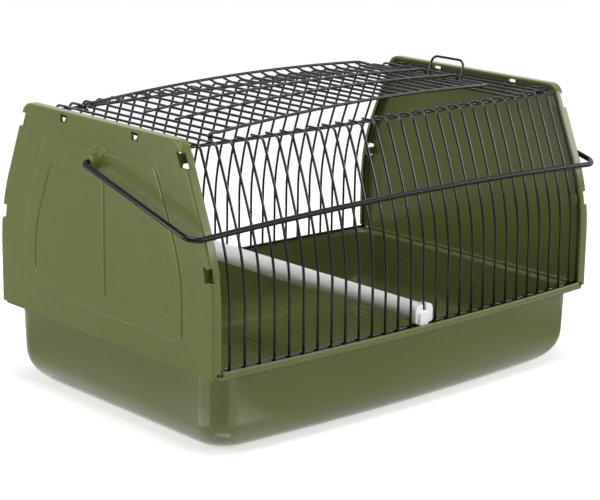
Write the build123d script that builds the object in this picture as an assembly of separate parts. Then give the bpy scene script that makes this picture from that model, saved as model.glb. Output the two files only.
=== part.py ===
from build123d import *
import os
from math import atan2, cos, degrees, hypot, radians, sin, tan

os.makedirs("parts", exist_ok=True)

# Bird travel carrier: a deep plastic tray, two moulded end panels joined by a wire cage, a wire top
# door, a wire bail handle and a perch. X is the length, -Y the front, +Z up, the tray's foot is z = 0.

# ---- driving sizes (mm) ----
LENGTH = 300.0        # over the faces of the two end panels
DEPTH = 200.0         # over the tray rim at its corners
RIM_TOP = 50.0        # height of the rim the cage stands on
PANEL_TOP = 173.5     # top edge of the end panels
WALL = 1.8            # all moulded walls
TRAY_BOW = 6.0        # how far the tray's long sides belly out at mid length
CAGE_BOW = 4.0        # the same for the wire front and back

# tray
RIM_THICK = 2.0
RIM_INSET = 1.5       # the rim's ends stay behind the panel faces
RIM_CORNER = 4.0
TUB_INSET_X = 5.5
TUB_INSET_Y = 5.0
TUB_CORNER = 16.0
TUB_ROUND = 20.0      # radius between the tub's walls and floor
DRAFT = 1.5           # degrees
BAND_HEIGHT = 2.4     # low upstand in front of the wires' feet
BAND_END = 6.7        # from the panel face to the end of the upstand
FLOOR_RIBS = 9
RIB_PITCH = 12.0
RIB_HEIGHT = 0.6
MARK_RADIUS = 14.0    # plain moulded ring on the floor
MARK_AT = (96.0, 46.0)

# end panels
PANEL_SETBACK = 0.6   # panel edge behind the rim's corner
SIDE_UPRIGHT = 35.0   # height of the panel's upright part, above it the sides curve inwards
SIDE_RADIUS = 115.0
SIDE_LEAN = radians(22.7)
PANEL_CORNER = 8.0
PANEL_EDGE = 1.0      # bevel of the outer edge
FLANGE = 6.0          # depth of the rim turned in round the panel
FLANGE_STEP = 2.0
RELIEF = 1.0          # height of the raised plateau
RELIEF_BEVEL = 0.6
PLATEAU_INSET = 25.5
PLATEAU_UP, PLATEAU_DOWN = 14.0, 17.5    # from the panel's foot and from its top
FIELD_INSET = 11.0
FIELD_UP, FIELD_DOWN = 25.0, 31.5
CENTRE_RIB = 10.0
RELIEF_CORNER = 4.5
ARCH_RADIUS = 8.5
WINDOW_UP, WINDOW_DOWN = 55.2, 10.3      # middle of the lower and of the upper window
WINDOW_TALL = 8.4
WINDOW_DEEP = 5.5     # how far a window reaches in from the panel's edge
WINDOW_IN_FLANGE = 3.0
TOP_WINDOW_Y = 33.0
TOP_WINDOW_BELOW = 3.8
TOP_WINDOW_SIZE = (6.4, 4.8)
TOP_HOOK_WIDE = 2.6
HOOK_WIDE = 5.0
HOOK_THICK = 1.8
TONGUE_Y = 45.0
TONGUE_WIDE = 18.0
TONGUE_DOWN = 9.0
TONGUE_PLAY = 0.7

# wires
WIRE_R = 0.75         # half the width across a wire's flats
BAR_R = 1.0
WIRE_SIDES = 6
BAR_SIDES = 8
WIRE_COUNT = 28
WIRE_MARGIN = 13.4    # panel face to the first grille wire
END_WIRE_X = 5.8      # panel face to the mesh's edge wire
WIRE_GAP = 0.034      # corner of a wire behind the panel's wall
WIRE_FOOT = 0.6       # feet above the rim
TOP_LAYER = 4.2       # roof wires below the panel's top
ROOF_BEND = 8.0
ROOF_STUB = 5.0       # grille wires run on past the roof bar
BOTTOM_BAR_UP = 1.3   # middle of the bottom bars over the rim
WELD = 0.06           # bars lie against the wires
LATTICE_WELD = 0.20   # the same under the domed door
HINGE_WIRE = 2        # the door turns on this roof wire
LATCH_WIRE = 25       # and its latch drops behind this one

# top door
DOOR_HALF = 57.0
DOOR_OVERHANG = 1.9
DOOR_CORNER = 10.0
DOOR_CLEAR = 2.3      # door end before the first free roof wire
DOOR_START = 4.4      # from the hinge wire to the start of the dome
DOOR_LOW, DOOR_END_UP = 1.9, 5.7   # dome ends above the roof layer
DOME = 3.8
LATCH_HALF = 14.0
LATCH_R = 0.8
LATCH_PAST = 4.2      # latch beyond its roof wire
LATCH_DIP = 0.9
LOOP_HEIGHT = 14.0
LOOP_LEAN = radians(14)
LOOP_CORNER = 5.0
EYE_PLAY = 0.09

# bail handle
PIVOT_DOWN = 22.5     # pivot below the panel's top
HANDLE_R = 1.6
HANDLE_SIDES = 10
HANDLE_DROP = 25.8    # at rest the bar lies this far below the pivot
HANDLE_CLEAR = 5.03   # and this far in front of the mesh at the cage's ends
HANDLE_OUT = 10.5     # arms beyond the panel faces
HANDLE_CORNER = 9.0
PIVOT_BEND = 3.0
HANDLE_BOW = 4.0
PIVOT_PLAY = 0.05
BOSS_R = 4.8
BOSS_OUT = 7.3

# perch
PERCH_WIRE = 14
PERCH_R = 6.0
PERCH_BORE = 4.4
PERCH_UP = 7.6        # perch above the tray's rim
CLIP_WIDE = 14.0
CLIP_UP = 13.7
CLIP_PLAY = 0.3
SPIGOT = 8.0

# ---- derived ----
HALF_L = LENGTH / 2
BEND_Z = RIM_TOP + SIDE_UPRIGHT
PIVOT_Z = PANEL_TOP - PIVOT_DOWN
PERCH_Z = RIM_TOP + PERCH_UP
CLIP_TOP = RIM_TOP + CLIP_UP
PANEL_HALF = DEPTH / 2 - PANEL_SETBACK
PITCH = (LENGTH - 2 * WIRE_MARGIN) / (WIRE_COUNT - 1)
WIRE_X = [i * PITCH - HALF_L + WIRE_MARGIN for i in range(WIRE_COUNT)]
EDGE_X = HALF_L - END_WIRE_X
ROOF_Z = PANEL_TOP - TOP_LAYER
HINGE_X, LATCH_X = WIRE_X[HINGE_WIRE], WIRE_X[LATCH_WIRE]
WIRE_CORNER = WIRE_R / cos(radians(180 / WIRE_SIDES))
WIRE_INSET = WALL + WIRE_CORNER + WIRE_GAP


def bow(x, most):
    """Belly of the long sides at x, none at the mesh's edge wires."""
    return most * (1 - (x / EDGE_X) ** 2)


def side_y(z, inset):
    """Half depth of the panel's outline, moved in by inset, at height z on its leaning part."""
    r = SIDE_RADIUS - inset
    z_end = BEND_Z + r * sin(SIDE_LEAN)
    return PANEL_HALF - SIDE_RADIUS + r * cos(SIDE_LEAN) - (z - z_end) * tan(SIDE_LEAN)


def side_points(inset, steps):
    """Points round the curved part of the outline, moved in by inset."""
    return arc_points(PANEL_HALF - SIDE_RADIUS, BEND_Z, SIDE_RADIUS - inset, 0, SIDE_LEAN, steps)


def arc_points(y, z, radius, first, last, steps):
    turns = (first + (last - first) * k / steps for k in range(steps + 1))
    return [(y + radius * cos(t), z + radius * sin(t)) for t in turns]


def arc_kinks(y, z, radius, first, last):
    """Two points round which a wire bends in place of an arc; its runs touch the arc."""
    step = (last - first) / 4
    return arc_points(y, z, radius / cos(step), first + step, last - step, 1)


def outline(inset, low, high, corner=0.0, foot_corner=0.0):
    """Face of the end panel's outline, moved in by inset, between two heights."""
    a, b, c = side_points(inset, 2)
    foot, top = (a[0], low), (side_y(high, inset), high)
    edges = [Line((-foot[0], low), foot), Line((-top[0], high), top)]
    for s in (1, -1):
        p = [(s * y, z) for y, z in (foot, a, b, c, top)]
        edges += [Line(p[0], p[1]), ThreePointArc(p[1], p[2], p[3]), Line(p[3], p[4])]
    face = Sketch() + make_face(edges)
    if corner:
        face = fillet(face.vertices().group_by(Axis.Y)[-1], corner)
    if foot_corner:
        face = fillet(face.vertices().group_by(Axis.Y)[0], foot_corner)
    return face


def edge_band(outer, inner):
    """Strip along the panel's sides between two insets."""
    return outline(outer, RIM_TOP, PANEL_TOP) - outline(inner, RIM_TOP - 1, PANEL_TOP + 1)


def stripe(low, high, y=0.0, wide=2 * DEPTH):
    """Rectangle between two heights on an end view."""
    return Pos(y, (low + high) / 2) * Rectangle(wide, high - low)


def end_block(face, x_from, x_to):
    """Extrude a face drawn on the end view between two stations along X."""
    return extrude(Plane.YZ.offset(x_from) * face, x_to - x_from)


def wire(points, radius, sides=WIRE_SIDES, across=(1, 0, 0)):
    """Many-sided wire, mitred along the points, its flats square to across."""
    along = Vector(*points[1]) - Vector(*points[0])
    start = Plane(origin=points[0], x_dir=across, z_dir=along)
    section = start * Rot(0, 0, 90 - 180 / sides) * RegularPolygon(radius, sides, major_radius=False)
    return sweep(section, path=Polyline(*points), transition=Transition.RIGHT)


def save(name, *shapes):
    solids = [s for shape in shapes for s in shape.solids()]
    export_step(solids[0] if len(solids) == 1 else Compound(solids), f"parts/{name}.step")


# ---- tray ----
def plan(half_x, half_y, corner, belly):
    """Tray outline seen from above: straight ends, bellied long sides."""
    edges = [Line((s * half_x, -half_y), (s * half_x, half_y)) for s in (1, -1)]
    edges += [ThreePointArc((-half_x, s * half_y), (0, s * (half_y + belly)), (half_x, s * half_y))
              for s in (1, -1)]
    return fillet((Sketch() + make_face(edges)).vertices(), corner)


def tub(skin, floor, top):
    """Solid tub body, its walls moved in by skin, from floor up to top."""
    radius, steps = TUB_ROUND - skin, 3
    half_x, half_y = HALF_L - TUB_INSET_X - skin, DEPTH / 2 - TUB_INSET_Y - skin

    def level(z, extra):
        d = (RIM_TOP - z) * tan(radians(DRAFT)) + extra
        return Pos(0, 0, z) * plan(half_x - d, half_y - d, TUB_CORNER - skin, TRAY_BOW)

    turn = [radians(90 * k / steps) for k in range(steps + 1)]
    rounded = [level(floor + radius * (1 - sin(t)), radius * (1 - cos(t))) for t in reversed(turn)]
    return loft(rounded + [level(top, 0)], ruled=True)


RIM_LOW = RIM_TOP - RIM_THICK
rim_x, rim_y = HALF_L - RIM_INSET, DEPTH / 2
tray = extrude(Pos(0, 0, RIM_LOW) * plan(rim_x, rim_y, RIM_CORNER, TRAY_BOW), RIM_THICK)
band = plan(rim_x, rim_y, RIM_CORNER, TRAY_BOW) - plan(rim_x + WALL, rim_y - WALL, RIM_CORNER, TRAY_BOW)
band &= Rectangle(LENGTH - 2 * BAND_END, 2 * DEPTH)
tray += extrude(Pos(0, 0, RIM_TOP) * band, BAND_HEIGHT)
tray += tub(0, 0, RIM_TOP)
tray -= tub(WALL, WALL, RIM_TOP + 1)
floor_x = HALF_L - TUB_INSET_X - TUB_ROUND - WALL
for k in range(FLOOR_RIBS):
    y = (k - (FLOOR_RIBS - 1) / 2) * RIB_PITCH
    tray += Pos(0, y, WALL) * Box(2 * floor_x, 1.2, 2 * RIB_HEIGHT)
mark = Circle(MARK_RADIUS) - Circle(MARK_RADIUS - 1.2)
tray += extrude(Pos(*MARK_AT, WALL - 0.4) * mark, RIB_HEIGHT + 0.8)
save("tray", tray)

# ---- end panels ----
face_x, inner_x = -HALF_L, -HALF_L + WALL
panel = end_block(outline(0, RIM_TOP, PANEL_TOP, PANEL_CORNER), face_x, face_x + FLANGE)
outer = panel.faces().sort_by(Axis.X)[0].edges().filter_by(lambda e: e.center().Z > RIM_TOP + 1)
panel = chamfer(outer, PANEL_EDGE)
hollow = outline(WALL, RIM_TOP - 10, PANEL_TOP - WALL, PANEL_CORNER - WALL)
panel -= end_block(hollow, inner_x, face_x + FLANGE)
panel -= end_block(stripe(RIM_TOP, RIM_TOP + FLANGE_STEP), face_x + FLANGE / 2, face_x + FLANGE)

corners = (RELIEF_CORNER, RELIEF_CORNER)
plateau = outline(PLATEAU_INSET, RIM_TOP + PLATEAU_UP, PANEL_TOP - PLATEAU_DOWN, *corners)
plateau += Pos(0, PIVOT_Z) * Circle(ARCH_RADIUS)
field = outline(PLATEAU_INSET + FIELD_INSET, RIM_TOP + FIELD_UP, PANEL_TOP - FIELD_DOWN, *corners)
field -= Rectangle(CENTRE_RIB, 2 * PANEL_TOP)
relief = Plane.YZ.offset(face_x) * (plateau - field)
relief = extrude(relief, RELIEF, dir=(-1, 0, 0))
panel += chamfer(relief.faces().sort_by(Axis.X)[0].edges(), RELIEF_BEVEL)

pin_r = HANDLE_R / cos(radians(180 / HANDLE_SIDES))
boss = Pos(0, PIVOT_Z) * Circle(BOSS_R)
panel += end_block(boss, face_x - BOSS_OUT, inner_x)
panel -= end_block(Pos(0, PIVOT_Z) * Circle(pin_r + PIVOT_PLAY), face_x - BOSS_OUT - 1, face_x + 3 * FLANGE)

lip_x = -EDGE_X + WIRE_CORNER + CLIP_PLAY          # hooks reach round the edge wire to here
window_band = edge_band(-1, WINDOW_DEEP)
hook_root = edge_band(WINDOW_DEEP, WINDOW_DEEP + HOOK_THICK)
hook_lip = edge_band(WALL + 0.2, WINDOW_DEEP + HOOK_THICK)
for z in (RIM_TOP + WINDOW_UP, PANEL_TOP - WINDOW_DOWN):
    panel -= end_block(window_band & stripe(z - WINDOW_TALL / 2, z + WINDOW_TALL / 2),
                       face_x - 1, face_x + WINDOW_IN_FLANGE)
    reach = stripe(z - HOOK_WIDE / 2, z + HOOK_WIDE / 2)
    panel += end_block(hook_root & reach, inner_x, lip_x + 0.8)
    panel += end_block(hook_lip & reach, lip_x, lip_x + 0.8)
window_z = PANEL_TOP - TOP_WINDOW_BELOW
under_wire = ROOF_Z - WIRE_CORNER - CLIP_PLAY
for y in (-TOP_WINDOW_Y, TOP_WINDOW_Y):
    panel -= end_block(Pos(y, window_z) * Rectangle(*TOP_WINDOW_SIZE), face_x - 1, inner_x)
    panel += end_block(stripe(under_wire - HOOK_THICK, under_wire, y, TOP_HOOK_WIDE), inner_x, lip_x + 0.8)
    panel += end_block(stripe(under_wire - HOOK_THICK, ROOF_Z, y, TOP_HOOK_WIDE), lip_x, lip_x + 0.8)

tongue_x = -(HALF_L - TUB_INSET_X - WALL - TONGUE_PLAY)
for y in (-TONGUE_Y, TONGUE_Y):
    panel += end_block(stripe(RIM_TOP, RIM_TOP + WALL, y, TONGUE_WIDE), inner_x, tongue_x + WALL)
    leg = stripe(RIM_TOP - TONGUE_DOWN, RIM_TOP + WALL, y, TONGUE_WIDE)
    panel += end_block(leg, tongue_x, tongue_x + WALL)
save("left_panel", panel)
save("right_panel", mirror(panel, Plane.YZ))

# ---- wire cage ----
corner_y = side_y(ROOF_Z, WIRE_INSET)
turn = radians(90) - SIDE_LEAN
bar_y = corner_y - ROOF_BEND * tan(turn / 2)       # the roof bars lie where the bend ends
low_arc = (PANEL_HALF - SIDE_RADIUS, BEND_Z, SIDE_RADIUS - WIRE_INSET, 0, SIDE_LEAN)
top_arc = (bar_y, ROOF_Z - ROOF_BEND, ROOF_BEND, SIDE_LEAN, radians(90))
foot, stub = (PANEL_HALF - WIRE_INSET, RIM_TOP + WIRE_FOOT), (bar_y - ROOF_STUB, ROOF_Z)
grille_path = [foot] + arc_kinks(*low_arc) + arc_kinks(*top_arc) + [stub]
edge_path = [foot] + arc_points(*low_arc, 2) + arc_kinks(*top_arc) + [stub]   # inside the panels' wall


def side_wire(x, s, path=grille_path):
    """One bent wire at x; s is +1 for the back and -1 for the front."""
    return wire([(x, s * (y + bow(x, CAGE_BOW)), z) for y, z in path], WIRE_R)


def roof_wire(x):
    """Straight roof wire at x, running on from the bent wires of both sides."""
    end = bar_y - ROOF_STUB + bow(x, CAGE_BOW)
    return wire([(x, -end, ROOF_Z), (x, end, ROOF_Z)], WIRE_R)


def long_bar(y, z, s, radius):
    """Bar along the cage that follows the belly of its side."""
    end = EDGE_X + WIRE_CORNER
    xs = [end * (k / 4 - 1) for k in range(9)]
    return wire([(x, s * (y + bow(x, CAGE_BOW)), z) for x in xs], radius, BAR_SIDES, across=(0, 1, 0))


for name, s in (("front", -1), ("back", 1)):
    save(f"{name}_grille_wires", *[side_wire(x, s) for x in WIRE_X])
    save(f"{name}_end_wires", side_wire(-EDGE_X, s, edge_path), side_wire(EDGE_X, s, edge_path))
    save(f"{name}_top_bar", long_bar(bar_y - BAR_R, ROOF_Z - WIRE_R - BAR_R, s, BAR_R))
    inside = PANEL_HALF - WIRE_INSET - WIRE_R - BAR_R - WELD
    save(f"{name}_bottom_bar", long_bar(inside, RIM_TOP + BOTTOM_BAR_UP, s, BAR_R))
save("left_top_wires", *[roof_wire(x) for x in WIRE_X[:HINGE_WIRE + 1]])
save("right_top_wires", *[roof_wire(x) for x in WIRE_X[LATCH_WIRE - 1:]])
save("top_end_wires", roof_wire(-EDGE_X), roof_wire(EDGE_X))

# ---- top door ----
door_x = WIRE_X[HINGE_WIRE + 1:LATCH_WIRE - 1]
door_end = WIRE_X[LATCH_WIRE - 1] - DOOR_CLEAR
dome_start = HINGE_X + DOOR_START


def dome(x):
    """Height of the door's frame wire at x."""
    u = (x - dome_start) / (door_end - dome_start)
    return ROOF_Z + DOOR_LOW + (DOOR_END_UP - DOOR_LOW) * u + 4 * DOME * u * (1 - u)


eye = WIRE_CORNER + EYE_PLAY + BAR_R
hook = [(HINGE_X + eye / cos(radians(15)) * cos(t), ROOF_Z + eye / cos(radians(15)) * sin(t))
        for t in (radians(-75 - 30 * k) for k in range(6))]
hook.append((HINGE_X, ROOF_Z + eye))
rise = [(x, dome(x)) for x in (dome_start + (door_end - DOOR_CORNER - dome_start) * k / 7 for k in range(8))]
side_run = [(x, DOOR_HALF, z) for x, z in hook + rise]
edge_z = dome(door_end) - 2 * BAR_R - WELD          # the door's end lies under the cross bars
corner = [(door_end - DOOR_CORNER * (1 - sin(t)), DOOR_HALF - DOOR_CORNER * (1 - cos(t)),
           rise[-1][1] + (edge_z - rise[-1][1]) * (1 - cos(t))) for t in (radians(30 * k) for k in (1, 2, 3))]
half_frame = side_run + corner
frame_path = [(x, -y, z) for x, y, z in half_frame] + half_frame[::-1]
save("door_frame", wire(frame_path, BAR_R, BAR_SIDES, across=(0, 1, 0)))

lattice_end = DOOR_HALF + DOOR_OVERHANG
lattice = [wire([(x, s * lattice_end, dome(x) - BAR_R - WIRE_R - LATTICE_WELD) for s in (-1, 1)], WIRE_R)
           for x in door_x]
save("door_wires", *lattice)

# one bent wire: cross bar, latch, pull loop and back again
latch_x = LATCH_X + LATCH_PAST
bar_end = door_end + (latch_x - door_end) / 2
over = [(dome_start + DOOR_START + (door_end - dome_start - DOOR_START) * k / 7) for k in range(8)]
run = [(x, dome(x) - BAR_R + LATCH_R) for x in over]
run += [(LATCH_X, run[-1][1] - 0.4), (latch_x, ROOF_Z - LATCH_DIP)]
loop_top = ROOF_Z - LATCH_DIP + LOOP_HEIGHT
lean = lambda z: latch_x + (z - run[-1][1]) * tan(LOOP_LEAN)
half_loop = [(x, LATCH_HALF, z) for x, z in run]
half_loop += [(lean(z), y, z) for y, z in
              [(LATCH_HALF - LOOP_CORNER * (1 - cos(t)), loop_top - LOOP_CORNER * (1 - sin(t)))
               for t in (radians(30 * k) for k in range(4))]]
pull = wire([(x, -y, z) for x, y, z in half_loop] + half_loop[::-1], LATCH_R, BAR_SIDES, across=(0, 1, 0))
door_side = Pos(latch_x - LENGTH, 0, ROOF_Z) * Box(2 * LENGTH, DEPTH, DEPTH)
bars = (pull & door_side).solids().sort_by(Axis.Y)
save("front_cross_bar", bars[0])
save("back_cross_bar", bars[-1])
save("pull_loop", pull - door_side)

# ---- bail handle, drawn level and then let down onto the front ----
arm_x = HALF_L + HANDLE_OUT
bar_half = arm_x - HANDLE_CORNER
rest_y = side_y(PIVOT_Z - HANDLE_DROP, WIRE_INSET) + HANDLE_CLEAR
reach = hypot(rest_y, HANDLE_DROP)


def quarter(centre_x, centre_y, radius, first, steps):
    """Points round a quarter bend in the handle's plane."""
    turns = (radians(first - 90 * k / steps) for k in range(steps + 1))
    return [(centre_x + radius * cos(t), centre_y + radius * sin(t), 0) for t in turns]


half_handle = [(HALF_L - WALL, 0, 0)] + quarter(arm_x - PIVOT_BEND, -PIVOT_BEND, PIVOT_BEND, 90, 3)
half_handle += quarter(bar_half, HANDLE_CORNER - reach, HANDLE_CORNER, 0, 4)
grip = [bar_half * (1 - k / 4) for k in range(1, 4)]
half_handle += [(x, -reach, HANDLE_BOW * (1 - (x / bar_half) ** 2)) for x in grip]
handle_path = half_handle + [(-x, y, z) for x, y, z in half_handle[::-1]]
handle = wire(handle_path, HANDLE_R, HANDLE_SIDES, across=(0, 1, 0))
save("carry_handle", Pos(0, 0, PIVOT_Z) * Rot(degrees(atan2(HANDLE_DROP, rest_y)), 0, 0) * handle)

# ---- perch ----
perch_x = WIRE_X[PERCH_WIRE]
grip_y = PANEL_HALF - WIRE_INSET + bow(perch_x, CAGE_BOW)      # the wire the clips hold
slot = 2 * (WIRE_CORNER + CLIP_PLAY)
plate_out = grip_y - slot / 2
plate_in = grip_y - WIRE_R - 2 * BAR_R - 1.4
clip_low = RIM_TOP + BOTTOM_BAR_UP + BAR_R + CLIP_PLAY
cheek_out = grip_y + slot / 2
nose_out = cheek_out + 1.9
nose_low, nose_top = RIM_TOP + 1.0, CLIP_TOP - 3.3

tube = Plane.XZ.offset(-plate_in) * Pos(perch_x, PERCH_Z) * (Circle(PERCH_R) - Circle(PERCH_BORE))
save("perch_bar", extrude(tube, 2 * plate_in))


def clip_slice(face, y_from, y_to):
    """Extrude a face drawn on the front view between two depths."""
    return extrude(Plane.XZ.offset(-y_to) * Pos(perch_x, 0) * face, y_to - y_from)


tall = stripe(clip_low, CLIP_TOP, 0, CLIP_WIDE)
tall = chamfer(tall.vertices().group_by(Axis.Y)[-1], 3.0)
tall = chamfer(tall.vertices().group_by(Axis.Y)[0], 1.5)
cheeks = tall - stripe(clip_low - 1, CLIP_TOP + 1, 0, slot)
clip = clip_slice(tall, plate_in, plate_out) + clip_slice(cheeks, plate_out - 0.01, cheek_out)
nose_face = stripe(nose_low, nose_top, -1.6, 7.0)
nose = clip_slice(chamfer(nose_face.vertices(), 1.5), cheek_out, nose_out)
clip += chamfer(nose.faces().sort_by(Axis.Y)[-1].edges(), 1.0)
clip += clip_slice(Pos(0, PERCH_Z) * Circle(PERCH_BORE - PIVOT_PLAY), plate_in - SPIGOT, plate_in)
save("back_perch_clip", clip)
save("front_perch_clip", mirror(clip, Plane.XZ))
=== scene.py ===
from math import atan2, cos, pi, radians, sin, sqrt, tan

import bmesh
import bpy
from mathutils import Matrix, Vector
from mathutils.geometry import delaunay_2d_cdt


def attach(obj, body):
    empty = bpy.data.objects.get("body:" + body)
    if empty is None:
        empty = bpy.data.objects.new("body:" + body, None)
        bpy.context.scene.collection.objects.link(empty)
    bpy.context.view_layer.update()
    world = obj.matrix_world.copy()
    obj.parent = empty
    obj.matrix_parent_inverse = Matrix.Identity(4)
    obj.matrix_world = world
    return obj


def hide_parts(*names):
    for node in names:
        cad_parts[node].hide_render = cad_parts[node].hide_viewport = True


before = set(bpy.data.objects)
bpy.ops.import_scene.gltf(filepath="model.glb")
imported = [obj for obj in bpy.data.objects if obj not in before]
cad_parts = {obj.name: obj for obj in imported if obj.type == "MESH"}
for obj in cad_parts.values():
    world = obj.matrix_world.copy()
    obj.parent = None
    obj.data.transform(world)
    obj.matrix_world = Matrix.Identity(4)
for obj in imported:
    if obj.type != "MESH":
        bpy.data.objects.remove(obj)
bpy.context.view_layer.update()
MM = 0.001

# Looks of the bird travel carrier. Each piece is drawn in mm and stands in for one CAD node.
# +X runs to the right end, -Y is the front and z = 0 is the tray's foot. s is -1 at the front, 1 at the back.

# ---------------------------------------------------------------- sizes in mm, as the CAD has them
LENGTH, DEPTH, RIM_TOP, PANEL_TOP, WALL = 300.0, 200.0, 50.0, 173.5, 1.8
HALF_L, HALF_D = LENGTH / 2, DEPTH / 2
TRAY_BOW, CAGE_BOW = 5.95, 4.0            # bellies of the long sides; the CAD's faceted tray has 6.0
PANEL_HALF = HALF_D - 0.6
BEND_Z, SIDE_RADIUS, SIDE_LEAN = RIM_TOP + 35.0, 115.0, radians(22.7)
PIVOT_Z = PANEL_TOP - 22.5

WIRE_R, BAR_R, LATCH_R, HANDLE_R = 0.75, 1.0, 0.8, 1.6
WIRE_REACH = WIRE_R / cos(pi / 6)         # from the middle of the CAD's six-sided wire to its corner
PLAY, WELD = 0.3, 0.06
WIRE_MARGIN, WIRE_COUNT, WIRE_INSET = 13.4, 28, 2.7
EDGE_X = HALF_L - 5.8                     # the mesh's edge wires, held by the end panels
PITCH = (LENGTH - 2 * WIRE_MARGIN) / (WIRE_COUNT - 1)
WIRE_X = [i * PITCH - HALF_L + WIRE_MARGIN for i in range(WIRE_COUNT)]
LEFT_ROOF_X, DOOR_X, RIGHT_ROOF_X = WIRE_X[:3], WIRE_X[3:24], WIRE_X[24:]
EDGES_X = (-EDGE_X, EDGE_X)
ROOF_Z, ROOF_BEND, ROOF_STUB = PANEL_TOP - 4.2, 8.0, 5.0
BOTTOM_BAR_Z = RIM_TOP + 1.3
HINGE_X, LATCH_X, PERCH_X = LEFT_ROOF_X[-1], RIGHT_ROOF_X[1], WIRE_X[14]


# ---------------------------------------------------------------- mesh helpers
def add_object(name, bm, material, body, nodes=(), sharp=0):
    """Turn a bmesh drawn in mm into a piece on a body, standing for CAD nodes."""
    bmesh.ops.scale(bm, vec=(MM, MM, MM), verts=bm.verts)
    bmesh.ops.recalc_face_normals(bm, faces=bm.faces)
    mesh = bpy.data.meshes.new(name)
    bm.to_mesh(mesh)
    bm.free()
    mesh.shade_smooth()
    if sharp:
        mesh.set_sharp_from_angle(angle=radians(sharp))
    obj = bpy.data.objects.new(name, mesh)
    bpy.context.scene.collection.objects.link(obj)
    mesh.materials.append(material)
    if nodes:
        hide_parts(*nodes)
    if sharp:
        even = obj.modifiers.new("even_shading", "WEIGHTED_NORMAL")
        even.keep_sharp = True
    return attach(obj, body)


def sweep(start, end, steps):
    """Evenly spaced values from start to end, both included."""
    return [start + (end - start) * k / steps for k in range(steps + 1)]


def circle(count):
    """Evenly spaced angles once round."""
    return sweep(0, 2 * pi, count)[:-1]


def ring(bm, points):
    return [bm.verts.new(p) for p in points]


def strips(bm, rings, closed=True):
    """Quads between neighbouring rings of the same length."""
    for a, b in zip(rings, rings[1:]):
        for k in range(len(a) if closed else len(a) - 1):
            j = (k + 1) % len(a)
            bm.faces.new((a[k], a[j], b[j], b[k]))


def loft(bm, rings):
    """Closed solid through the rings, with a flat face over each end."""
    strips(bm, rings)
    bm.faces.new(rings[0])
    bm.faces.new(rings[-1])


def tube(bm, path, radius, sides=12, open_ends=(False, False)):
    """Round wire along a path of points; an end is softened unless it runs on into another wire."""
    tip_soft, tip_scale = 0.3 * radius, 0.72
    points = [Vector(p) for p in path]
    heads = [(b - a).normalized() for a, b in zip(points, points[1:])]
    tangents = [heads[0]] + [(a + b).normalized() for a, b in zip(heads, heads[1:])] + [heads[-1]]
    side = tangents[0].orthogonal().normalized()
    rings, last = [], tangents[0]

    def round_ring(centre, along, scale=1.0):
        other = along.cross(side)
        return ring(bm, [centre + (side * cos(a) + other * sin(a)) * radius * scale for a in circle(sides)])

    for i, (p, along) in enumerate(zip(points, tangents)):
        side = (last.rotation_difference(along) @ side).normalized()
        last = along
        if i == 0 and not open_ends[0]:
            rings += [round_ring(p, along, tip_scale), round_ring(p + along * tip_soft, along)]
        elif i == len(points) - 1 and not open_ends[1]:
            rings += [round_ring(p - along * tip_soft, along), round_ring(p, along, tip_scale)]
        else:
            rings.append(round_ring(p, along))
    loft(bm, rings)


def bends(points, radii, steps=6):
    """Polyline with its inner corners rounded to the given radii."""
    nearly_straight = radians(88.5)       # half the angle at a corner that is left as it is
    points = [Vector(p) for p in points]
    out = [points[0]]
    for before, corner, after, r in zip(points, points[1:], points[2:], radii):
        a, b = before - corner, after - corner
        half = a.angle(b) / 2
        if r <= 0 or half > nearly_straight:
            out.append(corner)
            continue
        a.normalize()
        b.normalize()
        cut = r / tan(half)
        centre = corner + (a + b).normalized() * (r / sin(half))
        start, end = corner + a * cut - centre, corner + b * cut - centre
        axis = start.cross(end).normalized()
        out += [centre + Matrix.Rotation(t, 3, axis) @ start for t in sweep(0, start.angle(end), steps)]
    return out + [points[-1]]


def within(point, loops):
    """Whether a flat point lies within an odd number of the loops."""
    odd = False
    for loop in loops:
        for p, q in zip(loop, loop[1:] + loop[:1]):
            if (p.y > point.y) != (q.y > point.y):
                crossing = (q.x - p.x) * (point.y - p.y) / (q.y - p.y) + p.x
                odd ^= point.x < crossing
    return odd


def fill(bm, loops, across=(1, 2)):
    """Flat faces between an outer loop of vertices and the holes in it."""
    verts = [v for loop in loops for v in loop]
    flat_loops = [[Vector((v.co[across[0]], v.co[across[1]])) for v in loop] for loop in loops]
    flat = [p for loop in flat_loops for p in loop]
    edges, first = [], 0
    for loop in loops:
        edges += [(first + k, first + (k + 1) % len(loop)) for k in range(len(loop))]
        first += len(loop)
    points, _, faces, sources, _, _ = delaunay_2d_cdt(flat, edges, [], 0, 1e-7)
    for face in faces:
        if within(sum((points[k] for k in face), Vector((0, 0))) / len(face), flat_loops):
            bm.faces.new([verts[sources[k][0]] for k in face])


def block(bm, low, high, bevel, steps=2):
    """Box with softened edges."""
    made = bmesh.ops.create_cube(bm, size=1.0)["verts"]
    for v in made:
        v.co = Vector([(a + b) / 2 + c * (b - a) for a, b, c in zip(low, high, v.co)])
    edges = list({e for v in made for e in v.link_edges})
    bmesh.ops.bevel(bm, geom=edges, offset=bevel, segments=steps, profile=0.5, affect="EDGES")


def rounded_edge(radius, steps=4):
    """(inset, depth) pairs of a quarter round from the face to the side."""
    return [(radius * (1 - sin(t)), radius * (1 - cos(t))) for t in sweep(0, pi / 2, steps)]


# ---------------------------------------------------------------- outlines that several pieces share
def bow(x, most):
    """How far a long side of the cage bellies out at x."""
    return most * (1 - (x / EDGE_X) ** 2)


def side_arc(inset):
    """(y, z) points of the round stretch of the panel's side, moved in by inset."""
    r = SIDE_RADIUS - inset
    return [(PANEL_HALF - SIDE_RADIUS + r * cos(t), BEND_Z + r * sin(t)) for t in sweep(0, SIDE_LEAN, 8)]


def side_y(z, inset):
    """Half depth of the panel's outline, moved in by inset, on its leaning part."""
    y_end, z_end = side_arc(inset)[-1]
    return y_end - (z - z_end) * tan(SIDE_LEAN)


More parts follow.
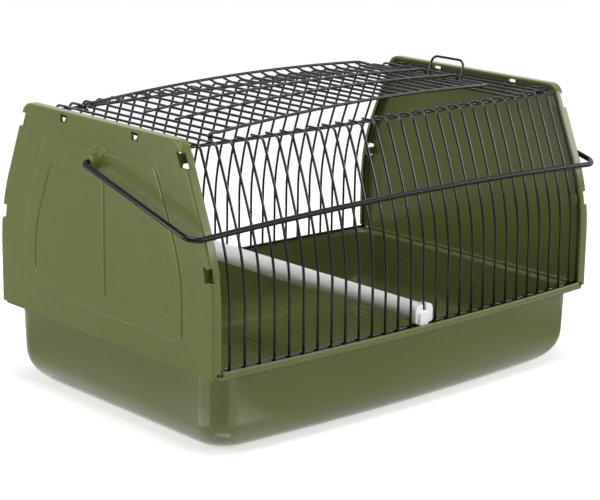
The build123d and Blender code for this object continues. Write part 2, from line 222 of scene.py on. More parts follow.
def side_at(z, inset):
    """The same at any height."""
    r = SIDE_RADIUS - inset
    if z > BEND_Z + r * sin(SIDE_LEAN):
        return side_y(z, inset)
    return PANEL_HALF - SIDE_RADIUS + sqrt(r * r - max(z - BEND_Z, 0) ** 2)


# ---------------------------------------------------------------- materials
class Nodes:
    """Small help for building a node tree."""

    def __init__(self, tree, space):
        self.tree = tree
        self.coords = self.add("ShaderNodeTexCoord").outputs[space]

    def add(self, kind, links=(), **values):
        """Node with the given links, properties and input values; an underscore stands for a space."""
        node = self.tree.nodes.new(kind)
        for key, value in values.items():
            if hasattr(node, key):
                setattr(node, key, value)
        for key, value in values.items():
            if not hasattr(node, key):
                node.inputs[key.replace("_", " ")].default_value = value
        for key, source in dict(links).items():
            self.tree.links.new(source, node.inputs[key])
        return node

    def combine(self, kind, operation, a, b):
        node = self.add(kind, operation=operation)
        for socket, value in zip(node.inputs, (a, b)):
            if isinstance(value, bpy.types.NodeSocket):
                self.tree.links.new(value, socket)
            else:
                socket.default_value = value
        return node

    def maths(self, operation, a, b):
        return self.combine("ShaderNodeMath", operation, a, b).outputs[0]

    def vectors(self, operation, a, b=(0, 0, 0)):
        """Vector result of an operation, or the number where the operation gives one."""
        number = operation in ("DOT_PRODUCT", "LENGTH")
        return self.combine("ShaderNodeVectorMath", operation, a, b).outputs["Value" if number else "Vector"]

    def noise(self, scale, detail=2.0):
        where = {"Vector": self.coords}
        return self.add("ShaderNodeTexNoise", where, Scale=scale, Detail=detail).outputs["Fac"]

    def remap(self, value, low, high, from_low=0.3, from_high=0.7):
        return self.add("ShaderNodeMapRange", {"Value": value}, From_Min=from_low, From_Max=from_high,
                        To_Min=low, To_Max=high).outputs[0]

    def mix_colour(self, factor, a, b):
        node = self.add("ShaderNodeMix", data_type="RGBA")
        self.tree.links.new(factor, node.inputs[0])
        node.inputs[6].default_value = (*a, 1)
        node.inputs[7].default_value = (*b, 1)
        return node.outputs[2]

    def mix_shader(self, factor, a, b):
        return self.add("ShaderNodeMixShader", {0: factor, 1: a, 2: b}).outputs[0]

    def add_shader(self, a, b):
        return self.add("ShaderNodeAddShader", {0: a, 1: b}).outputs[0]

    def emission(self, strength):
        return self.add("ShaderNodeEmission", {"Strength": strength}).outputs[0]


class Material(Nodes):
    """Principled material whose textures follow the object's own coordinates."""

    def __init__(self, name):
        self.mat = bpy.data.materials.new(name)
        self.mat.use_nodes = True
        super().__init__(self.mat.node_tree, "Object")
        self.bsdf = self.tree.nodes["Principled BSDF"]

    def set(self, **values):
        for key, value in values.items():
            self.bsdf.inputs[key.replace("_", " ")].default_value = value

    def link(self, output, socket):
        self.tree.links.new(output, self.bsdf.inputs[socket])

    def bump(self, height, strength, distance, under=None):
        links = {"Height": height, "Normal": under} if under else {"Height": height}
        return self.add("ShaderNodeBump", links, Strength=strength, Distance=distance).outputs[0]


def moulded(name, dark, light, rough=(0.18, 0.22), gloss=0.45):
    """Injection moulded plastic: fine grain, slow waves in the gloss, slight colour drift."""
    m = Material(name)
    m.link(m.mix_colour(m.remap(m.noise(9.0, 3.0), 0, 1), dark, light), "Base Color")
    m.link(m.remap(m.noise(40.0), *rough), "Roughness")
    waves = m.bump(m.noise(14.0, 0.0), 0.10, 0.0006)
    m.link(m.bump(m.noise(2600.0), 0.06, 0.0001, waves), "Normal")
    m.set(Specular_IOR_Level=gloss)
    return m.mat


def coated(name, rough=(0.14, 0.22), gloss=0.75):
    """Black gloss coating on steel wire."""
    m = Material(name)
    m.link(m.mix_colour(m.remap(m.noise(120.0), 0, 1), (0.003, 0.003, 0.0035), (0.007, 0.007, 0.008)),
           "Base Color")
    m.link(m.remap(m.noise(300.0, 3.0), *rough), "Roughness")
    m.link(m.bump(m.noise(900.0), 0.12, 0.0001), "Normal")
    m.set(Specular_IOR_Level=gloss)
    return m.mat


TRAY_MAT = moulded("tray_plastic", (0.120, 0.142, 0.044), (0.128, 0.150, 0.048))
PANEL_MAT = moulded("panel_plastic", (0.127, 0.149, 0.036), (0.135, 0.157, 0.040))
WIRE_MAT = coated("wire_coating")
HANDLE_MAT = coated("handle_coating", (0.08, 0.13), 0.3)
PERCH_MAT = moulded("perch_white", (0.87, 0.87, 0.86), (0.90, 0.90, 0.89), (0.26, 0.34))


def add_wire(name, bm, body):
    """Finish a wire piece that stands for the node of the same name."""
    add_object(name + "_visual", bm, WIRE_MAT, body, [name])


# ---------------------------------------------------------------- tray
TUB_X, TUB_Y, TUB_CORNER, TUB_ROUND, DRAFT = HALF_L - 5.5, HALF_D - 5.0, 16.0, 20.0, tan(radians(1.5))
RIM_X, RIM_Y, RIM_LOW, RIM_CORNER = HALF_L - 1.5, HALF_D, RIM_TOP - 2.0, 4.0
RIM_EDGE, LIP_ROUND = 0.7, 2.4
UNDER_RIM = [(1.2, 0.0), (0.5, 0.15), (0.1, 0.6), (0.0, 1.2)]       # (out, down) of the fillet to the tub
UPSTAND_X, UPSTAND_SUNK, BACK_UPSTAND = HALF_L - 6.7, 0.3, 0.25     # the back one is lower, by this share
UPSTAND = [(0, 0), (0, 1.5), (0.12, 1.92), (0.38, 2.22), (0.75, 2.37), (1.1, 2.4), (1.55, 2.34), (1.8, 2.0),
           (1.8, 0)]                                                # (in, up) round its section
RIB_PITCH, RIB_HALF, RIB_HEIGHT, RIB_REACH, RIBS_PER_SIDE = 7.0, 1.0, 0.4, 72, 17
RIB_SUNK = 0.6
MARK_AT = (96.0, 46.0)
MARK = [(12.8, -0.3), (12.8, 0.25), (13.05, 0.4), (13.75, 0.4), (14.0, 0.25), (14.0, -0.3)]   # (radius, up)


def plan(half_x, half_y, corner, z):
    """Points round the tray seen from above: straight ends, bellied long sides, round corners."""
    def belly(x):
        return half_y + TRAY_BOW * (1 - (x / half_x) ** 2)

    slope, end_x = 0.0, half_x - corner
    for _ in range(4):                                  # settle where the belly meets the corner's arc
        slope = atan2(2 * TRAY_BOW * end_x / half_x ** 2, 1)
        end_x = half_x - corner + corner * sin(slope)
    centre_y = belly(end_x) - corner * cos(slope)
    quarter = [(x, -belly(x)) for x in sweep(0, end_x, 12)[:-1]]
    quarter += [(half_x - corner + corner * sin(t), -centre_y - corner * cos(t))
                for t in sweep(slope, pi / 2, 10)]
    quarter += [(half_x, y) for y in sweep(-centre_y, 0, 4)[1:-1]]
    half = quarter + [(half_x, 0)] + [(x, -y) for x, y in quarter[:0:-1]]
    return [Vector((x, y, z)) for x, y in half + [(-x, -y) for x, y in half]]


def tub_ring(z, extra, skin):
    """Outline of the tub's wall at a height, moved in by extra, skin mm inside the outer surface."""
    inset = (RIM_TOP - z) * DRAFT + extra + skin
    return plan(TUB_X - inset, TUB_Y - inset, TUB_CORNER - skin, z)


def tub_profile(skin):
    """Rings of the tub's skin from the rim down to the floor."""
    radius = TUB_ROUND - skin
    rings = [tub_ring(z, 0, skin) for z in (44.0, 36.0, 28.0)]
    return rings + [tub_ring(skin + radius * (1 - sin(t)), radius * (1 - cos(t)), skin)
                    for t in sweep(0, pi / 2, 10)]


def rim_ring(t):
    """Outline at an angle round the rim's rounded outer edge."""
    inset = RIM_EDGE * (1 - sin(t))
    z = RIM_TOP - RIM_EDGE if cos(t) > 0 else RIM_LOW + RIM_EDGE
    return plan(RIM_X - inset, RIM_Y - inset, RIM_CORNER - inset, z + RIM_EDGE * cos(t))


def tub(bm):
    lip = [tub_ring(RIM_TOP - LIP_ROUND * (1 - sin(t)), 0, WALL - LIP_ROUND * (1 - cos(t)))
           for t in sweep(0, pi / 2, 6)]
    rim = [rim_ring(t) for t in sweep(0, pi, 6)]
    under = [tub_ring(RIM_LOW - down, -out, 0) for out, down in UNDER_RIM]
    inner = [ring(bm, p) for p in tub_profile(WALL)[::-1] + lip]
    outer = [ring(bm, p) for p in rim + under + tub_profile(0)]
    strips(bm, inner + outer)
    fill(bm, [inner[0]], (0, 1))
    fill(bm, [outer[-1]], (0, 1))


def upstand(bm, s):
    """Low wall on the rim in front of the wires' feet."""
    share = BACK_UPSTAND if s > 0 else 1
    rows = []
    for x in sweep(-UPSTAND_X, UPSTAND_X, 40):
        out_y = RIM_Y + TRAY_BOW * (1 - (x / RIM_X) ** 2)
        rows.append(ring(bm, [(x, s * (out_y - i), RIM_TOP + (up * share if up else -UPSTAND_SUNK))
                              for i, up in UPSTAND]))
    loft(bm, rows)


def floor_details(bm):
    """Fine ribs across the floor and the plain round mark."""
    for k in range(-RIBS_PER_SIDE, RIBS_PER_SIDE + 1):
        x = k * RIB_PITCH
        block(bm, (x - RIB_HALF, -RIB_REACH, WALL - RIB_SUNK), (x + RIB_HALF, RIB_REACH, WALL + RIB_HEIGHT),
              bevel=0.4)
    rows = [ring(bm, [(MARK_AT[0] + r * cos(t), MARK_AT[1] + r * sin(t), WALL + up) for t in circle(48)])
            for r, up in MARK]
    strips(bm, rows + rows[:1])


def tray():
    bm = bmesh.new()
    tub(bm)
    upstand(bm, -1)
    upstand(bm, 1)
    floor_details(bm)
    add_object("tray_visual", bm, TRAY_MAT, "tray_body", ["tray"], sharp=40)


tray()

# ---------------------------------------------------------------- end panels
FLANGE, FLANGE_STEP, FOOT_DEEP, STEP_RUN = 6.0, 2.0, 3.0, 0.1
FACE, INNER, BACK = -HALF_L, -HALF_L + WALL, -HALF_L + FLANGE     # x of the left panel's surfaces
PANEL_CORNER, PANEL_EDGE = 8.0, 1.3
PLATEAU_INSET, PLATEAU_LOW, PLATEAU_TOP, ARCH_RADIUS = 25.5, RIM_TOP + 14.0, PANEL_TOP - 17.5, 8.5
FIELD_INSET, FIELD_LOW, FIELD_TOP = PLATEAU_INSET + 11.0, RIM_TOP + 25.0, PANEL_TOP - 31.5
CENTRE_RIB, RELIEF_CORNER, RIB_CORNER = 5.0, 4.5, 1.5
RELIEF = [(-0.75, 0.0), (-0.42, 0.08), (-0.14, 0.28), (0.14, 0.7), (0.42, 0.92), (0.95, 1.0)]   # (inset, out)
BOSS = [(6.0, 1.0), (5.2, 1.25), (4.85, 1.9), (4.75, 6.6), (4.6, 7.1), (4.2, 7.3), (2.2, 7.3), (1.85, 7.15),
        (1.74, 6.8), (1.74, -WALL)]                                # (radius, out) down into the pivot's bore
WINDOWS_Z = (RIM_TOP + 55.2, PANEL_TOP - 10.3)
WINDOW_HALF, WINDOW_DEEP, WINDOW_IN_FLANGE = 4.2, 5.5, 3.0
TOP_WINDOW_Y, TOP_WINDOW_HALF, TOP_WINDOW_LOW, TOP_WINDOW_HIGH = 33.0, 3.2, PANEL_TOP - 6.2, PANEL_TOP - 1.4
HOOK_HALF, HOOK_THICK, HOOK_LIP, HOOK_TIP, TOP_HOOK_HALF = 2.5, 1.8, 0.8, 2.0, 1.3
HOOK_X = -EDGE_X + WIRE_REACH + PLAY      # the hooks' lips stand behind the edge wires
HOOK_Z = ROOF_Z - WIRE_REACH - PLAY       # and the top ones' arms pass under them
FOOT_REACH, FOOT_WIDE, FOOT_HIGH, FOOT_CLEAR = 92, 3.2, 1.8, 0.02
OVERLAP = 0.2                             # pieces of one moulding run into each other by this
CUT_PAST = 1.0                            # cutters start this far outside the wall


def on_face(points, x):
    return [Vector((x, p.y, p.z)) for p in points]


def closed(half):
    """Closed outline from its right half."""
    return half + [Vector((p.x, -p.y, p.z)) for p in half[-2:0:-1]]


def side_points(inset, high):
    """Points of a panel outline's round stretch, and where its leaning part reaches a height."""
    return [(0, y, z) for y, z in side_arc(inset)] + [(0, side_y(high, inset), high)]


def side_line(inset, low, high, top_corner, foot_corner=0.0):
    """Right half of a panel outline, moved in by inset, from the middle of its foot to that of its top."""
    side = side_points(inset, high)
    corners = [(0, 0, low), (0, PANEL_HALF - inset, low)] + side + [(0, 0, high)]
    return bends(corners, [foot_corner] + [0] * (len(side) - 1) + [top_corner], 5)


def plateau_outline(inset):
    """Raised plateau with its round top over the pivot."""
    high, r, corner = PLATEAU_TOP - inset, ARCH_RADIUS - inset, RELIEF_CORNER - inset / 2
    up = high - PIVOT_Z
    half = side_line(PLATEAU_INSET + inset, PLATEAU_LOW + inset, high, corner, corner)[:-1]
    half += [Vector((0, r * cos(t), PIVOT_Z + r * sin(t)))
             for t in sweep(atan2(up, sqrt(r * r - up * up)), pi / 2, 8)]
    return closed(half)


def field_outline(grow, s):
    """Recessed field beside the centre rib, on the side s."""
    inset, rib, low, high = FIELD_INSET - grow, CENTRE_RIB - grow, FIELD_LOW - grow, FIELD_TOP + grow
    side, middle = side_points(inset, high), (0, rib, (low + high) / 2)
    corners = [middle, (0, rib, low), (0, PANEL_HALF - inset, low)] + side + [(0, rib, high), middle]
    outer, inner = RELIEF_CORNER + grow, RIB_CORNER + grow
    points = bends(corners, [inner, outer] + [0] * (len(side) - 1) + [outer, inner], 5)[1:-1]
    return [Vector((p.x, s * p.y, p.z)) for p in points]


def panel_skin(bm):
    """Left panel's skin from the face round the flange to the inside; returns its outline rings."""
    step = FACE + FOOT_DEEP                       # behind it the foot stands clear of the upstands
    # (inset, x) points, with the corners of the flange softened in two or three short steps
    profile = [(i, FACE + d) for i, d in rounded_edge(PANEL_EDGE)]
    profile += [(0.0, step), (0.0, step + STEP_RUN), (0.0, BACK - 0.35), (0.1, BACK - 0.1), (0.35, BACK)]
    profile += [(WALL - 0.35, BACK), (WALL - 0.1, BACK - 0.1), (WALL, BACK - 0.35)]
    profile += [(WALL, step + STEP_RUN), (WALL, step)]
    profile += [(WALL, INNER + 0.8), (WALL + 0.25, INNER + 0.25), (WALL + 0.8, INNER)]
    rings = []
    for i, x in profile:
        foot = RIM_TOP + (FLANGE_STEP if x > step + STEP_RUN / 2 else 0.0)
        half = side_line(i, foot, PANEL_TOP - i, PANEL_CORNER - i)[1:]
        rings.append(ring(bm, on_face(half + [Vector((0, -p.y, p.z)) for p in half[-2::-1]], x)))
    strips(bm, rings, closed=False)
    fill(bm, [[r[0] for r in rings] + [r[-1] for r in reversed(rings)]], (0, 1))
    return rings


def panel_mesh():
    """Left panel: skin, boss with the pivot's bore, plateau and the two fields sunk into it."""
    bm = bmesh.new()
    rings = panel_skin(bm)
    boss = [ring(bm, [(FACE - out, r * cos(t), PIVOT_Z + r * sin(t)) for t in circle(40)]) for r, out in BOSS]
    plateau = [ring(bm, on_face(plateau_outline(i), FACE - out)) for i, out in RELIEF]
    fields = [[ring(bm, on_face(field_outline(i, s), FACE - out)) for i, out in RELIEF] for s in (-1, 1)]
    for rows in [boss, plateau] + fields:
        strips(bm, rows)
    for rows in fields:
        fill(bm, [rows[0]])
    fill(bm, [rings[0], plateau[0]])
    fill(bm, [plateau[-1], fields[0][-1], fields[1][-1], boss[0]])
    fill(bm, [rings[-1], boss[-1]])
    return bm


def side_rows(bm, section, s, z, half):
    """Rings of a prism that follows the panel's side over a height; its section is (inset, x) points."""
    return [ring(bm, [(x, s * side_at(h, i), h) for i, x in section]) for h in (z - half, z, z + half)]


def window_tools():
    """Meshes to cut from the left panel: its side windows and its top windows."""
    near, far = FACE - CUT_PAST, FACE + WINDOW_IN_FLANGE
    section = [(-CUT_PAST, near), (WINDOW_DEEP, near), (WINDOW_DEEP, far), (-CUT_PAST, far)]
    tools = []
    for s, z in ((s, z) for s in (-1, 1) for z in WINDOWS_Z):
        tools.append(bmesh.new())
        loft(tools[-1], side_rows(tools[-1], section, s, z, WINDOW_HALF))
    for y in (-TOP_WINDOW_Y, TOP_WINDOW_Y):
        tools.append(bmesh.new())
        block(tools[-1], (near, y - TOP_WINDOW_HALF, TOP_WINDOW_LOW),
              (INNER + OVERLAP, y + TOP_WINDOW_HALF, TOP_WINDOW_HIGH), bevel=0.5)
    return tools


def temporary(bm):
    """Object for a boolean, made from a bmesh drawn in mm."""
    bmesh.ops.recalc_face_normals(bm, faces=bm.faces)
    mesh = bpy.data.meshes.new("temp")
    bm.to_mesh(mesh)
    bm.free()
    obj = bpy.data.objects.new("temp", mesh)
    bpy.context.scene.collection.objects.link(obj)
    return obj


def cut_away(bm, cutters):
    """Exact boolean difference of meshes drawn in mm."""
    body = temporary(bm)
    tools = [temporary(c) for c in cutters]
    for tool in tools:
        cut = body.modifiers.new("cut", "BOOLEAN")
        cut.operation, cut.solver, cut.object = "DIFFERENCE", "EXACT", tool
    bpy.context.view_layer.update()
    result = bmesh.new()
    result.from_mesh(body.evaluated_get(bpy.context.evaluated_depsgraph_get()).to_mesh())
    for obj in [body] + tools:
        mesh = obj.data
        bpy.data.objects.remove(obj)
        bpy.data.meshes.remove(mesh)
    return result


def hooks(bm):
    """Snap hooks behind the windows: an arm from the wall, and a lip behind the edge wires."""
    lip_end, arm_end = HOOK_X + HOOK_LIP, WINDOW_DEEP + HOOK_THICK
    section = [(WINDOW_DEEP, INNER), (arm_end, INNER), (arm_end, lip_end), (HOOK_TIP, lip_end),
               (HOOK_TIP, HOOK_X), (WINDOW_DEEP, HOOK_X)]
    for s in (-1, 1):
        for z in WINDOWS_Z:
            rows = side_rows(bm, section, s, z, HOOK_HALF)
            strips(bm, rows)
            fill(bm, [rows[0]], (0, 1))
            fill(bm, [rows[-1]], (0, 1))
        y_low, y_high = s * TOP_WINDOW_Y - TOP_HOOK_HALF, s * TOP_WINDOW_Y + TOP_HOOK_HALF
        block(bm, (INNER - OVERLAP, y_low, HOOK_Z - HOOK_THICK), (lip_end, y_high, HOOK_Z), bevel=0.2)
        block(bm, (HOOK_X, y_low, HOOK_Z - HOOK_THICK), (lip_end, y_high, ROOF_Z), bevel=0.2)


def panel(name, side):
    bm = cut_away(panel_mesh(), window_tools())
    hooks(bm)
    # bead at the panel's foot, on the tray's ledge
    block(bm, (INNER - OVERLAP, -FOOT_REACH, RIM_TOP + FOOT_CLEAR),
          (INNER + FOOT_WIDE, FOOT_REACH, RIM_TOP + FOOT_HIGH), bevel=0.7)
    if side > 0:
        bmesh.ops.scale(bm, vec=(-1, 1, 1), verts=bm.verts)
    add_object(name + "_visual", bm, PANEL_MAT, "cage_body", [name], sharp=40)


panel("left_panel", -1)
panel("right_panel", 1)

# ---------------------------------------------------------------- wire cage
WIRE_FOOT = 0.6                           # the wires' feet over the rim
TURN = pi / 2 - SIDE_LEAN                 # of a wire from the side into the roof
TIGHT_BEND = 4.5                          # radius of that turn
SHOULDER, SHOULDER_LOW, SHOULDER_RISE, SHOULDER_FADE = 2.6, 105.0, 50.0, 1.6
SHOULDER_Z = (135, 142, 149, 156, 162)    # heights at which the side wires get a point
FREE_STUB = 2.1                           # a wire that has no roof wire ends this far behind the roof bar
CORNER_Y = side_y(ROOF_Z, WIRE_INSET)
BAR_Y = CORNER_Y - ROOF_BEND * tan(TURN / 2)
ROOFED = {*LEFT_ROOF_X, *RIGHT_ROOF_X, *EDGES_X}


def side_path():
    """(y, z) points of a side wire from its foot round the bend into the roof."""
    bend_y = CORNER_Y - TIGHT_BEND * tan(TURN / 2)
    path = [(PANEL_HALF - WIRE_INSET, RIM_TOP + WIRE_FOOT)] + side_arc(WIRE_INSET)
    path += [(side_y(z, WIRE_INSET), z) for z in SHOULDER_Z]
    return path + [(bend_y + TIGHT_BEND * sin(t), ROOF_Z - TIGHT_BEND * (1 - cos(t)))
                   for t in sweep(TURN, 0, 6)]


def shoulder(x, z):
    """How far the side wires bulge out under the roof, away from the panels."""
    rise = min(1.0, max(0.0, (z - SHOULDER_LOW) / SHOULDER_RISE))
    return SHOULDER * rise * rise * (3 - 2 * rise) * min(1.0, SHOULDER_FADE * (1 - (x / EDGE_X) ** 2))


def side_wires(name, xs, s):
    bm = bmesh.new()
    for x in xs:
        roofed = x in ROOFED
        path = [(y + shoulder(x, z), z) for y, z in side_path()]
        path.append((BAR_Y - (ROOF_STUB if roofed else FREE_STUB), ROOF_Z))
        tube(bm, [(x, s * (y + bow(x, CAGE_BOW)), z) for y, z in path], WIRE_R, open_ends=(False, roofed))
    add_wire(name, bm, "cage_body")


def roof_wires(name, xs):
    bm = bmesh.new()
    for x in xs:
        end = BAR_Y - ROOF_STUB + bow(x, CAGE_BOW)
        tube(bm, [(x, y, ROOF_Z) for y in sweep(-end, end, 12)], WIRE_R, open_ends=(True, True))
    add_wire(name, bm, "cage_body")


def long_bar(name, y, z, s):
    """Bar along the cage that follows its belly."""
    end = EDGE_X + WIRE_R
    bm = bmesh.new()
    tube(bm, [(x, s * (y + bow(x, CAGE_BOW)), z) for x in sweep(-end, end, 40)], BAR_R)
    add_wire(name, bm, "cage_body")


for side, s in (("front", -1), ("back", 1)):
    side_wires(f"{side}_grille_wires", WIRE_X, s)
    side_wires(f"{side}_end_wires", EDGES_X, s)
    long_bar(f"{side}_top_bar", BAR_Y - BAR_R, ROOF_Z - WIRE_R - BAR_R, s)
    long_bar(f"{side}_bottom_bar", PANEL_HALF - WIRE_INSET - WIRE_R - BAR_R - WELD, BOTTOM_BAR_Z, s)
roof_wires("left_top_wires", LEFT_ROOF_X)
roof_wires("right_top_wires", RIGHT_ROOF_X)
roof_wires("top_end_wires", EDGES_X)

# ---------------------------------------------------------------- roof door
DOOR_HALF, DOOR_CORNER, DOOR_LOW, DOOR_END_UP, DOME, DOOR_START = 57.0, 10.0, 1.9, 5.7, 3.8, 4.4
DOOR_CLEAR = 2.3                          # from the door's end to the first free roof wire
DOOR_END, DOME_START = RIGHT_ROOF_X[0] - DOOR_CLEAR, HINGE_X + DOOR_START
FRAME_R, LATTICE_WELD = BAR_R - 0.12, 0.20
EYE_PLAY, EYE_FROM, EYE_TO = 0.09, radians(-75), radians(-255)
EYE_R = WIRE_REACH + EYE_PLAY + BAR_R
EYE_NECK = (1.6, 0.25)                    # (along, up) from the top of the eye to where the frame runs on
LATTICE_FLAT = 36.0                       # half width up to which the cross wires are straight
LATTICE_END = [(48.0, 0.0), (50.5, 0.22), (53.0, 0.85), (54.7, 1.3), (56.1, 1.5)]   # (y, up) to the frame
LATCH_PAST, LATCH_HALF, LATCH_DIP, LATCH_NOD = 4.2, 14.0, 0.9, 0.4
LATCH_BENDS = [2.5, 1.2, 4.5]             # at the roof wire, at the loop's foot and at its top
LOOP_HEIGHT, LOOP_LEAN = 14.0, tan(radians(14))


def dome(x):
    """Height of the door's frame wire along its side."""
    u = (x - DOME_START) / (DOOR_END - DOME_START)
    return ROOF_Z + DOOR_LOW + (DOOR_END_UP - DOOR_LOW) * u + 4 * DOME * u * (1 - u)


def door_frame():
    """One wire: eye round the hinge wire, side, round corner down to the far end, and back the same way."""
    corner_x = DOOR_END - DOOR_CORNER
    high, low = dome(corner_x), dome(DOOR_END) - 2 * BAR_R - WELD
    half = [(HINGE_X + EYE_R * cos(t), DOOR_HALF, ROOF_Z + EYE_R * sin(t))
            for t in sweep(EYE_FROM, EYE_TO, 12)]
    half += [(HINGE_X + EYE_NECK[0], DOOR_HALF, ROOF_Z + EYE_R + EYE_NECK[1])]
    half += [(x, DOOR_HALF, dome(x)) for x in sweep(DOME_START, corner_x, 16)]
    half += [(corner_x + DOOR_CORNER * sin(t), DOOR_HALF - DOOR_CORNER * (1 - cos(t)),
              high + (low - high) * (1 - cos(t))) for t in sweep(0, pi / 2, 9)[1:]]
    bm = bmesh.new()
    tube(bm, [(x, -y, z) for x, y, z in half] + half[::-1], FRAME_R)
    add_wire("door_frame", bm, "door_body")


def door_wires():
    bm = bmesh.new()
    for x in DOOR_X:
        z = dome(x) - BAR_R - WIRE_R - LATTICE_WELD
        flat = [(x, y, z) for y in sweep(-LATTICE_FLAT, LATTICE_FLAT, 6)]
        end = [(x, y, z + up) for y, up in LATTICE_END]
        tube(bm, [(x, -y, h) for x, y, h in end[::-1]] + flat + end, WIRE_R)
    add_wire("door_wires", bm, "door_body")


def latch():
    """The wire of both cross bars and the pull loop, cut into three nodes between the door and the latch."""
    latch_x, run_z = LATCH_X + LATCH_PAST, LATCH_R - BAR_R
    run = [(x, LATCH_HALF, dome(x) + run_z) for x in sweep(DOME_START + DOOR_START, DOOR_END, 16)]
    foot_z = ROOF_Z - LATCH_DIP
    half = run + [(LATCH_X, LATCH_HALF, run[-1][2] - LATCH_NOD), (latch_x, LATCH_HALF, foot_z)]
    half += [(latch_x + LOOP_HEIGHT * LOOP_LEAN, LATCH_HALF, foot_z + LOOP_HEIGHT)]
    radii = [0] * (len(run) - 1) + LATCH_BENDS
    wire = bends(half + [(x, -y, z) for x, y, z in half[::-1]], radii + radii[::-1])
    cut = (DOOR_END + latch_x) / 2

    def at_cut(a, b):
        return a.lerp(b, (cut - a.x) / (b.x - a.x))

    back = [p for p in wire if p.y > 0 and p.x <= cut]
    front = [p for p in wire if p.y < 0 and p.x <= cut]
    loop = [p for p in wire if p.x > cut]
    back_cut, front_cut = at_cut(back[-1], loop[0]), at_cut(front[0], loop[-1])
    for name, path, open_ends in (("front_cross_bar", [front_cut] + front, (True, False)),
                                  ("back_cross_bar", back + [back_cut], (False, True)),
                                  ("pull_loop", [back_cut] + loop + [front_cut], (True, True))):
        bm = bmesh.new()
        tube(bm, path, LATCH_R, open_ends=open_ends)
        add_wire(name, bm, "door_body")


door_frame()
door_wires()
latch()

# ---------------------------------------------------------------- perch
PERCH_Z, PERCH_R, PERCH_BORE, PERCH_EDGE = 57.6, 6.0, 4.4, 0.3
CLIP_LOW, CLIP_TOP, CLIP_HALF, SLOT_HALF = BOTTOM_BAR_Z + BAR_R + PLAY, 63.7, 7.0, WIRE_REACH + PLAY
CLIP_FOOT, CLIP_CROWN, SLOT_CORNER = 1.5, 3.4, 0.4                 # radii of the clip's corners
GRIP_Y = PANEL_HALF - WIRE_INSET + bow(PERCH_X, CAGE_BOW)          # middle of the gripped wire
PLATE_IN, PLATE_OUT = GRIP_Y - WIRE_R - 2 * BAR_R - 1.4, GRIP_Y - SLOT_HALF
CHEEK_OUT = GRIP_Y + SLOT_HALF
NOSE_LOW, NOSE_HIGH, NOSE_X, NOSE_OUT, NOSE_SUNK = RIM_TOP + 1.0, CLIP_TOP - 3.3, (-5.1, 1.9), 1.9, 0.3
NOSE_CORNERS = (1.6, 1.8, 2.2, 1.6)


def round_outline(corners, radii, steps=6):
    """Closed outline of (x, z) corners, each rounded by its own radius."""
    out, n = [], len(corners)
    for i, r in enumerate(radii):
        trio = [(corners[(i + k) % n][0], 0, corners[(i + k) % n][1]) for k in (-1, 0, 1)]
        out += bends(trio, [r], steps)[1:-1]
    return out


def slab(bm, outline, y_from, y_to, s, soft):
    """Prism along Y over an outline, its far edge rounded off."""
    normals = [Vector((b.z - a.z, 0, a.x - b.x)).normalized()
               for a, b in zip(outline[-1:] + outline[:-1], outline[1:] + outline[:1])]
    levels = [(0, y_from)] + [(inset, y_to - back) for back, inset in rounded_edge(soft)]
    rows = []
    for inset, y in levels:
        rows.append(ring(bm, [(PERCH_X + p.x - m.x * inset, s * y, p.z - m.z * inset)
                              for p, m in zip(outline, normals)]))
    loft(bm, rows)


def perch_bar():
    """Tube with softened ends."""
    outer, soft_y = PERCH_R - PERCH_EDGE, PLATE_IN - PERCH_EDGE
    profile = [(outer, PLATE_IN), (PERCH_R, soft_y), (PERCH_R, 0), (PERCH_R, -soft_y), (outer, -PLATE_IN),
               (PERCH_BORE, -PLATE_IN), (PERCH_BORE, 0), (PERCH_BORE, PLATE_IN)]
    bm = bmesh.new()
    rows = [ring(bm, [(PERCH_X + r * cos(t), y, PERCH_Z + r * sin(t)) for t in circle(56)])
            for r, y in profile]
    strips(bm, rows + rows[:1])
    add_object("perch_bar_visual", bm, PERCH_MAT, "perch_body", ["perch_bar"], sharp=50)


def perch_clip(name, s):
    """Plate behind the bottom bar, a cheek on each side of the gripped wire, and a nose in front of it."""
    bm = bmesh.new()
    plate = [(CLIP_HALF, CLIP_LOW), (CLIP_HALF, CLIP_TOP), (-CLIP_HALF, CLIP_TOP), (-CLIP_HALF, CLIP_LOW)]
    plate = round_outline(plate, (CLIP_FOOT, CLIP_CROWN, CLIP_CROWN, CLIP_FOOT))
    slab(bm, plate, PLATE_IN, PLATE_OUT, s, soft=0.15)
    cheek = [(CLIP_HALF, CLIP_LOW), (CLIP_HALF, CLIP_TOP), (SLOT_HALF, CLIP_TOP), (SLOT_HALF, CLIP_LOW)]
    radii = (CLIP_FOOT, CLIP_CROWN, SLOT_CORNER, SLOT_CORNER)
    other = [(-x, z) for x, z in cheek[::-1]]
    slab(bm, round_outline(other, radii[::-1]), PLATE_OUT - OVERLAP, CHEEK_OUT, s, soft=0.5)
    slab(bm, round_outline(cheek, radii), PLATE_OUT - OVERLAP, CHEEK_OUT, s, soft=0.5)
    nose = [(NOSE_X[1], NOSE_LOW), (NOSE_X[1], NOSE_HIGH), (NOSE_X[0], NOSE_HIGH), (NOSE_X[0], NOSE_LOW)]
    slab(bm, round_outline(nose, NOSE_CORNERS), CHEEK_OUT - NOSE_SUNK, CHEEK_OUT + NOSE_OUT, s, soft=0.9)
    add_object(name + "_visual", bm, PERCH_MAT, "perch_body", [name], sharp=50)


perch_bar()
perch_clip("front_perch_clip", -1)
perch_clip("back_perch_clip", 1)

# ---------------------------------------------------------------- bail handle
HANDLE_REST, HANDLE_REACH, HANDLE_BOW = radians(15.3), 97.8, 4.0
ARM_X, PIN_IN, HANDLE_CORNER, PIVOT_BEND = HALF_L + 10.5, HALF_L - WALL, 7.0, 3.0


